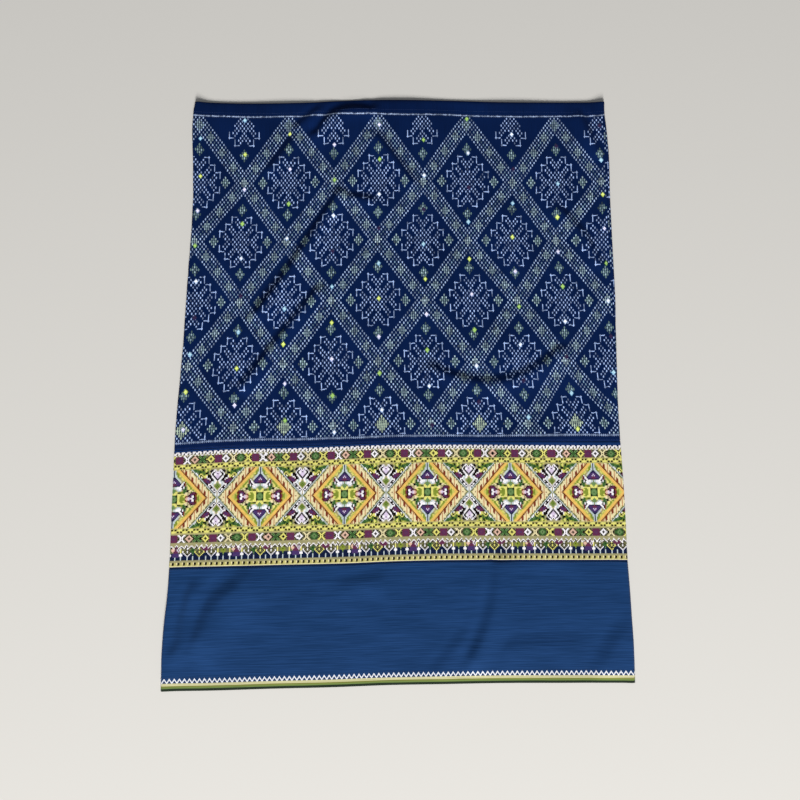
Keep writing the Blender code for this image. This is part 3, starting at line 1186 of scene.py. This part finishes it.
# The weft rows waver by a fraction of a millimetre as they are beaten in, and the upper
# ones sag towards the side seam.
BAND_HEIGHT = 0.19
BAND_WAVERS = (Waver(0.031, 0, 1.0, 0.6), Waver(0.11, 9, 0, 0.4))
BAND_WAVER_HEIGHT = 0.0004
BAND_EASE = 0.5
BAND_SAG = 0.0033
SAG_START = -60
SAG_RISE = 0.85


def band_wander(column, share):
    """How far the weft has wavered and sagged, as a share of the band's height."""
    waver = BAND_WAVER_HEIGHT * waver_sum(BAND_WAVERS, column, share)
    waver = waver * np.sin(math.pi * share) ** BAND_EASE
    towards = np.clip((column - SAG_START) / (BAND_SEAM_COLUMN - SAG_START), 0, 1)
    sag = BAND_SAG * towards * (2 - towards) * share**SAG_RISE
    return (waver - sag * (column < BAND_SEAM_COLUMN)) / BAND_HEIGHT


band_points = ring_points(
    band_columns, band_rows, band_run, "foot_seam", "band_seam", band_wander
)

yarn_of = {letter: np.array(linear(colour)[:3]) for letter, colour in YARNS.items()}
chart = [[section.yarn_at(int(column), row) for column in cells(band_columns)]
         for section in SECTIONS for row in range(section.rows)][::-1]
margin = len(BAND_TURN) - 1
chart = [chart[0]] * margin + chart + [chart[-1]] * margin
yarns = np.array([[yarn_of[letter] for letter in line] for line in chart])
floats = np.array([[letter not in "nu" for letter in line] for line in chart], dtype=float)

# A float stands a little above the navy ground that it passes over. A corner of the mesh
# takes the mean of the four cells round it.
FLOAT_RISE = 0.00016
TOP_FACE = 0.8 * FRONT_HEIGHT
lifted = floats + np.roll(floats, 1, axis=1)
on_top = band_points[1:-1, :, 2] > TOP_FACE
on_top[:margin] = on_top[-margin:] = False
band_points[1:-1, :, 2] += FLOAT_RISE * 0.25 * (lifted[:-1] + lifted[1:]) * on_top
band_mesh = ring_mesh(
    "chok_band_cloth", band_points, band_columns, BAND_SEAM_COLUMN, band_run, band_levels
)
YARN_SHADE = (0.90, 1.10)
yarn_luck = np.random.default_rng(23)
yarns = yarns * yarn_luck.uniform(*YARN_SHADE, yarns.shape[:2])[:, :, None]
paint(band_mesh, "yarn", yarns.reshape(-1, 3))

# Cotton embroidery weft, mercerised: soft floats 1.7 mm wide with a slight lustre.
STRANDS_A_CELL = (0.8, 3.0, 1)
STRAND_SHADE = (0.84, 1.16)
floss, tree, shader = cloth_material("mercerised cotton weft floats", roughness=0.66,
                                     gloss=CLOTH_GLOSS, sheen=0.05, sheen_roughness=0.40)
woven = add_node(tree, "ShaderNodeUVMap", uv_map="woven")
yarn = add_node(tree, "ShaderNodeAttribute", attribute_name="yarn")
strand_place = add_node(tree, "ShaderNodeMapping", {"Vector": woven, "Scale": STRANDS_A_CELL})
strands = add_node(tree, "ShaderNodeTexNoise",
                   {"Vector": strand_place, "Scale": 1.0, "Detail": 2.0},
                   noise_dimensions="2D")
shade = add_node(tree, "ShaderNodeMapRange", [strands, 0.0, 1.0, *STRAND_SHADE])
colour = add_node(tree, "ShaderNodeMix", {0: 1.0, 6: yarn, 7: shade}, out=2,
                  data_type="RGBA", blend_type="MULTIPLY")
tree.links.new(colour, shader.inputs["Base Color"])
row = add_node(tree, "ShaderNodeSeparateXYZ", [woven], out=1)
turn = add_node(tree, "ShaderNodeMath", [row, 2 * math.pi], operation="MULTIPLY")
rib = add_node(tree, "ShaderNodeMath", [turn], operation="SINE")
bump = add_node(tree, "ShaderNodeBump", {"Strength": 0.3, "Distance": 0.0002, "Height": rib})
tree.links.new(bump, shader.inputs["Normal"])

chok_band_cloth = add_piece(band_mesh, floss)
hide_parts("chok_band")

# ------------------------------------------------------------------ the foot cloth
# A plain length of hand-woven indigo cotton with uneven yarn, sewn to the band's lower
# edge. Its own border is woven in at the bottom: a white zigzag over a cream line, two
# green ones and a dark one. The hem is turned in by 20 mm.

FOOT_COLUMNS = 372
FOOT_ROWS = 46
FOOT_HEIGHT = 0.187
FOOT_TURNED_STEP = 0.001
foot_shares = np.linspace(0, 1, FOOT_ROWS + 1)
foot_rows = ring_rows(HEM_TURN, foot_shares, SEAM_TURN)
foot_levels = ring_levels(HEM_TURN, foot_shares * FOOT_HEIGHT, SEAM_TURN, FOOT_TURNED_STEP)
foot_columns = ring_columns(-FOOT_COLUMNS, 0)
foot_run = run_reader((-FOOT_COLUMNS, 0), [steady(BAND_PLACES[-1])])
foot_points = ring_points(foot_columns, foot_rows, foot_run, "hem", "foot_seam",
                          lambda column, share: 0 * column)
foot_mesh = ring_mesh("plain_foot", foot_points, foot_columns, 0, foot_run, foot_levels)

# Hand-woven cotton in a lighter indigo, from matt yarn: slubs 1 to 3 mm thick and up to
# 110 mm long run across it, over broad patches where the dye took unevenly.
FOOT_BLUE_LIGHT = "#173966"
FOOT_BLUE_DEEP = "#0e2f57"
FOOT_COLUMN = 0.0040
hand_woven, tree, shader = cloth_material("hand-woven indigo cotton", roughness=0.75,
                                          gloss=CLOTH_GLOSS, sheen=0.04)
woven = add_node(tree, "ShaderNodeUVMap", uv_map="woven")
# In metres: along is round the skirt, and up is above the hem edge.
measured = add_node(tree, "ShaderNodeMapping", {"Vector": woven, "Scale": (FOOT_COLUMN, 1, 1)})
along, up, _ = add_node(tree, "ShaderNodeSeparateXYZ", [measured], out=None)
# Noise stretched along the weft: the length and thickness of each kind of slub, and its
# share in the colour.
Slub = namedtuple("Slub", "length thickness share")
SLUBS = (Slub(0.110, 0.0026, 0.42), Slub(0.035, 0.0014, 0.36), Slub(0.060, 0.0180, 0.22))
SLUB_RANGE = (0.36, 0.64)
slub = 0.0
for kind in SLUBS:
    stretched = add_node(tree, "ShaderNodeMapping", {
        "Vector": measured, "Scale": (1 / kind.length, 1 / kind.thickness, 1)})
    noise = add_node(tree, "ShaderNodeTexNoise",
                     {"Vector": stretched, "Scale": 1.0, "Detail": 1.0}, noise_dimensions="2D")
    part = add_node(tree, "ShaderNodeMath", [noise, kind.share], operation="MULTIPLY")
    slub = add_node(tree, "ShaderNodeMath", [slub, part], operation="ADD")
slub = add_node(tree, "ShaderNodeMapRange", [slub, *SLUB_RANGE])
colour = add_node(tree, "ShaderNodeMix", {
    0: slub, 6: linear(FOOT_BLUE_DEEP), 7: linear(FOOT_BLUE_LIGHT)}, out=2, data_type="RGBA")

# The woven border, from the hem edge up: how high above the edge each stripe ends, and
# its yarn. The white zigzag runs over the last one.
Stripe = namedtuple("Stripe", "top colour")
STRIPES = (
    Stripe(0.0038, "#1a2419"),
    Stripe(0.0058, "#687c42"),
    Stripe(0.0078, "#757a39"),
    Stripe(0.0117, "#bdb88c"),
    Stripe(0.0150, "#1b3157"),
)
ZIGZAG_PITCH = 0.00775
ZIGZAG_HEIGHT = 0.0056
ZIGZAG_BOTTOM = 0.0121
ZIGZAG_LINE = 0.0029
ZIGZAG_WHITE = "#d9dade"
for stripe in reversed(STRIPES):
    below = add_node(tree, "ShaderNodeMath", [up, stripe.top], operation="LESS_THAN")
    colour = add_node(tree, "ShaderNodeMix", {0: below, 6: colour, 7: linear(stripe.colour)},
                      out=2, data_type="RGBA")
swing = add_node(tree, "ShaderNodeMath", [along, ZIGZAG_PITCH / 2], operation="PINGPONG")
swing = add_node(tree, "ShaderNodeMath", [swing, 2 * ZIGZAG_HEIGHT / ZIGZAG_PITCH],
                 operation="MULTIPLY")
on_line = up
for operation, amount in (("SUBTRACT", ZIGZAG_BOTTOM), ("SUBTRACT", swing), ("ABSOLUTE", 0.0),
                          ("LESS_THAN", ZIGZAG_LINE / 2)):
    on_line = add_node(tree, "ShaderNodeMath", [on_line, amount], operation=operation)
colour = add_node(tree, "ShaderNodeMix", {0: on_line, 6: colour, 7: linear(ZIGZAG_WHITE)},
                  out=2, data_type="RGBA")
tree.links.new(colour, shader.inputs["Base Color"])
bump = add_node(tree, "ShaderNodeBump", {"Strength": 0.35, "Distance": 0.0003, "Height": slub})
tree.links.new(bump, shader.inputs["Normal"])

plain_foot = add_piece(foot_mesh, hand_woven)
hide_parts("foot_cloth")

# ------------------------------------------------------------------ the sewing
# Navy cotton thread, in machine stitches of 3 mm. One row holds the turned waist, one
# on each side of the band holds the lengths of cloth together, and one holds the hem.

STITCH_PITCH = 0.0040
STITCH_LENGTH = 0.0030
STITCH_RADIUS = 0.00028
STITCH_DEPTH = 0.0001
STITCH_SPREAD = 0.08
STITCH_SIDES = 6
# A stitch's sections: how far along its length each is, and its breadth and height as
# shares of the round thread's, since a stitch is pulled tight.
STITCH_SECTIONS = ((-0.5, 0.1, 0.0), (-0.4, 0.8, 0.8), (0.4, 0.8, 0.8), (0.5, 0.1, 0.0))

stitch_verts, stitch_faces = [], []
for along, broad, high in STITCH_SECTIONS:
    for k in range(STITCH_SIDES):
        angle = 2 * math.pi * k / STITCH_SIDES
        stitch_verts.append((along * STITCH_LENGTH, math.cos(angle) * STITCH_RADIUS * broad,
                             math.sin(angle) * STITCH_RADIUS * high))
for first in range(0, len(stitch_verts) - STITCH_SIDES, STITCH_SIDES):
    for k in range(STITCH_SIDES):
        corner, beside = first + k, first + (k + 1) % STITCH_SIDES
        stitch_faces.append((corner + STITCH_SIDES, beside + STITCH_SIDES, beside, corner))
stitch_faces.append(tuple(range(STITCH_SIDES)))
stitch_faces.append(tuple(reversed(range(len(stitch_verts) - STITCH_SIDES, len(stitch_verts)))))
stitch_mesh = bpy.data.meshes.new("stitch")
stitch_mesh.from_pydata(stitch_verts, [], stitch_faces)
stitch_mesh.shade_smooth()
stitch = bpy.data.objects.new("stitch", stitch_mesh)

# Twisted cotton thread, navy: a little lighter and glossier than the cloth. Its twist is
# about half a millimetre a turn.
THREAD_DEEP = "#0b1a3c"
THREAD_LIGHT = "#1d3566"
TWISTS_A_METRE = 2000.0
sewing_thread, tree, shader = cloth_material("navy cotton sewing thread", roughness=0.55,
                                             gloss=0.20)
place = add_node(tree, "ShaderNodeTexCoord", out="Object")
twist = add_node(tree, "ShaderNodeTexNoise",
                 {"Vector": place, "Scale": TWISTS_A_METRE, "Detail": 1.0})
colour = add_node(tree, "ShaderNodeMix", {
    0: twist, 6: linear(THREAD_DEEP), 7: linear(THREAD_LIGHT)}, out=2, data_type="RGBA")
tree.links.new(colour, shader.inputs["Base Color"])

# Where the cloth turns under at the side folds, a straight stitch would stand off it. So
# stitches are left out where the cloth's outer face points this much downwards.
TURNING_UNDER = (-0.99, -0.4)


def stitch_row(line, rise):
    """Places for a row of stitches, all round the tube, at a distance above a line."""
    runs = np.arange(0, round_run(LINE[line](0.5) + rise)[0] - STITCH_PITCH / 2, STITCH_PITCH)
    y = LINE[line](0.5) + rise + 0 * runs
    for _ in range(SETTLING_PASSES):
        y = LINE[line](across_share(runs, y)) + rise
    here = wrapped(runs, y, STITCH_DEPTH)
    along = wrapped(runs + STITCH_LENGTH / 4, y, STITCH_DEPTH) - here
    facing = np.cross(along, wrapped(runs, y + STITCH_LENGTH / 4, STITCH_DEPTH) - here)
    facing = facing / np.linalg.norm(facing, axis=1, keepdims=True)
    near = (facing[:, 2] < TURNING_UNDER[0]) | (facing[:, 2] > TURNING_UNDER[1])
    return [(place, face, run, (0, 0, 0, 1))
            for place, face, run in zip(here[near], facing[near], along[near])]


for name, slot_name, rows in (
    ("body_stitches", "tie_dyed_cloth", (("waist", -0.0200), ("band_seam", 0.0028))),
    ("foot_stitches", "plain_foot_cloth", (("foot_seam", -0.0028), ("hem", 0.0195))),
):
    places = [place for line, rise in rows for place in stitch_row(line, rise)]
    stitches = repeat_along(name, places, stitch, sewing_thread, 1.0, STITCH_SPREAD)
    add_piece(stitches, sewing_thread)

# ------------------------------------------------------------------ the room
# A plain pale floor under the skirt, a soft key light from beyond the hem, and a soft
# fill from all round.

FLOOR_LEVEL = -0.0002
FLOOR_REACH = 6.0
FLOOR_CORNERS = ((-1, -1), (1, -1), (1, 1), (-1, 1))
floor_mesh = bpy.data.meshes.new("floor")
floor_mesh.from_pydata(
    [(x * FLOOR_REACH, y * FLOOR_REACH, FLOOR_LEVEL) for x, y in FLOOR_CORNERS], [], [(0, 1, 2, 3)]
)
floor = bpy.data.objects.new("floor", floor_mesh)
bpy.context.scene.collection.objects.link(floor)
pale = bpy.data.materials.new("pale matt floor")
pale.use_nodes = True
shader = pale.node_tree.nodes["Principled BSDF"]
shader.inputs["Base Color"].default_value = linear("#cdcac4")
shader.inputs["Roughness"].default_value = 0.9
shader.inputs["Specular IOR Level"].default_value = 0.1
floor_mesh.materials.append(pale)

FILL = "#e8ecf2"
FILL_STRENGTH = 0.24
world = bpy.data.worlds.new("studio")
bpy.context.scene.world = world
world.use_nodes = True
world.node_tree.nodes["Background"].inputs["Color"].default_value = linear(FILL)
world.node_tree.nodes["Background"].inputs["Strength"].default_value = FILL_STRENGTH

# The key is a square soft box that faces the middle of the skirt.
KEY_PLACE = np.array([0.3, -9.0, 3.0])
KEY_SIZE = 2.5
KEY_WATTS = 2670
key = bpy.data.lights.new("key", "AREA")
key.size = KEY_SIZE
key.energy = KEY_WATTS
lamp = bpy.data.objects.new("key", key)
bpy.context.scene.collection.objects.link(lamp)
lamp.location = KEY_PLACE
facing = -KEY_PLACE / np.linalg.norm(KEY_PLACE)
lamp.rotation_euler = (math.acos(-facing[2]), 0, math.atan2(-facing[0], facing[1]))

# The camera looks down from above the skirt's lower half, leaning a little to the waist.
# Its turn is one rotation vector, in degrees.
LENS = 24.84
SENSOR = 36.0
CAMERA_PLACE = (-0.0123, -0.1742, 0.9206)
CAMERA_TURN = (7.903, -0.716, -0.178)
camera_data = bpy.data.cameras.new("camera")
camera_data.lens = LENS
camera_data.sensor_width = SENSOR
camera_data.clip_start = 0.01
camera = bpy.data.objects.new("camera", camera_data)
bpy.context.scene.collection.objects.link(camera)
camera.location = CAMERA_PLACE
turn = np.radians(CAMERA_TURN)
angle = float(np.linalg.norm(turn))
camera.rotation_mode = "AXIS_ANGLE"
camera.rotation_axis_angle = (angle, *(turn / angle))
bpy.context.scene.camera = camera
bpy.context.scene.view_settings.view_transform = "Standard"
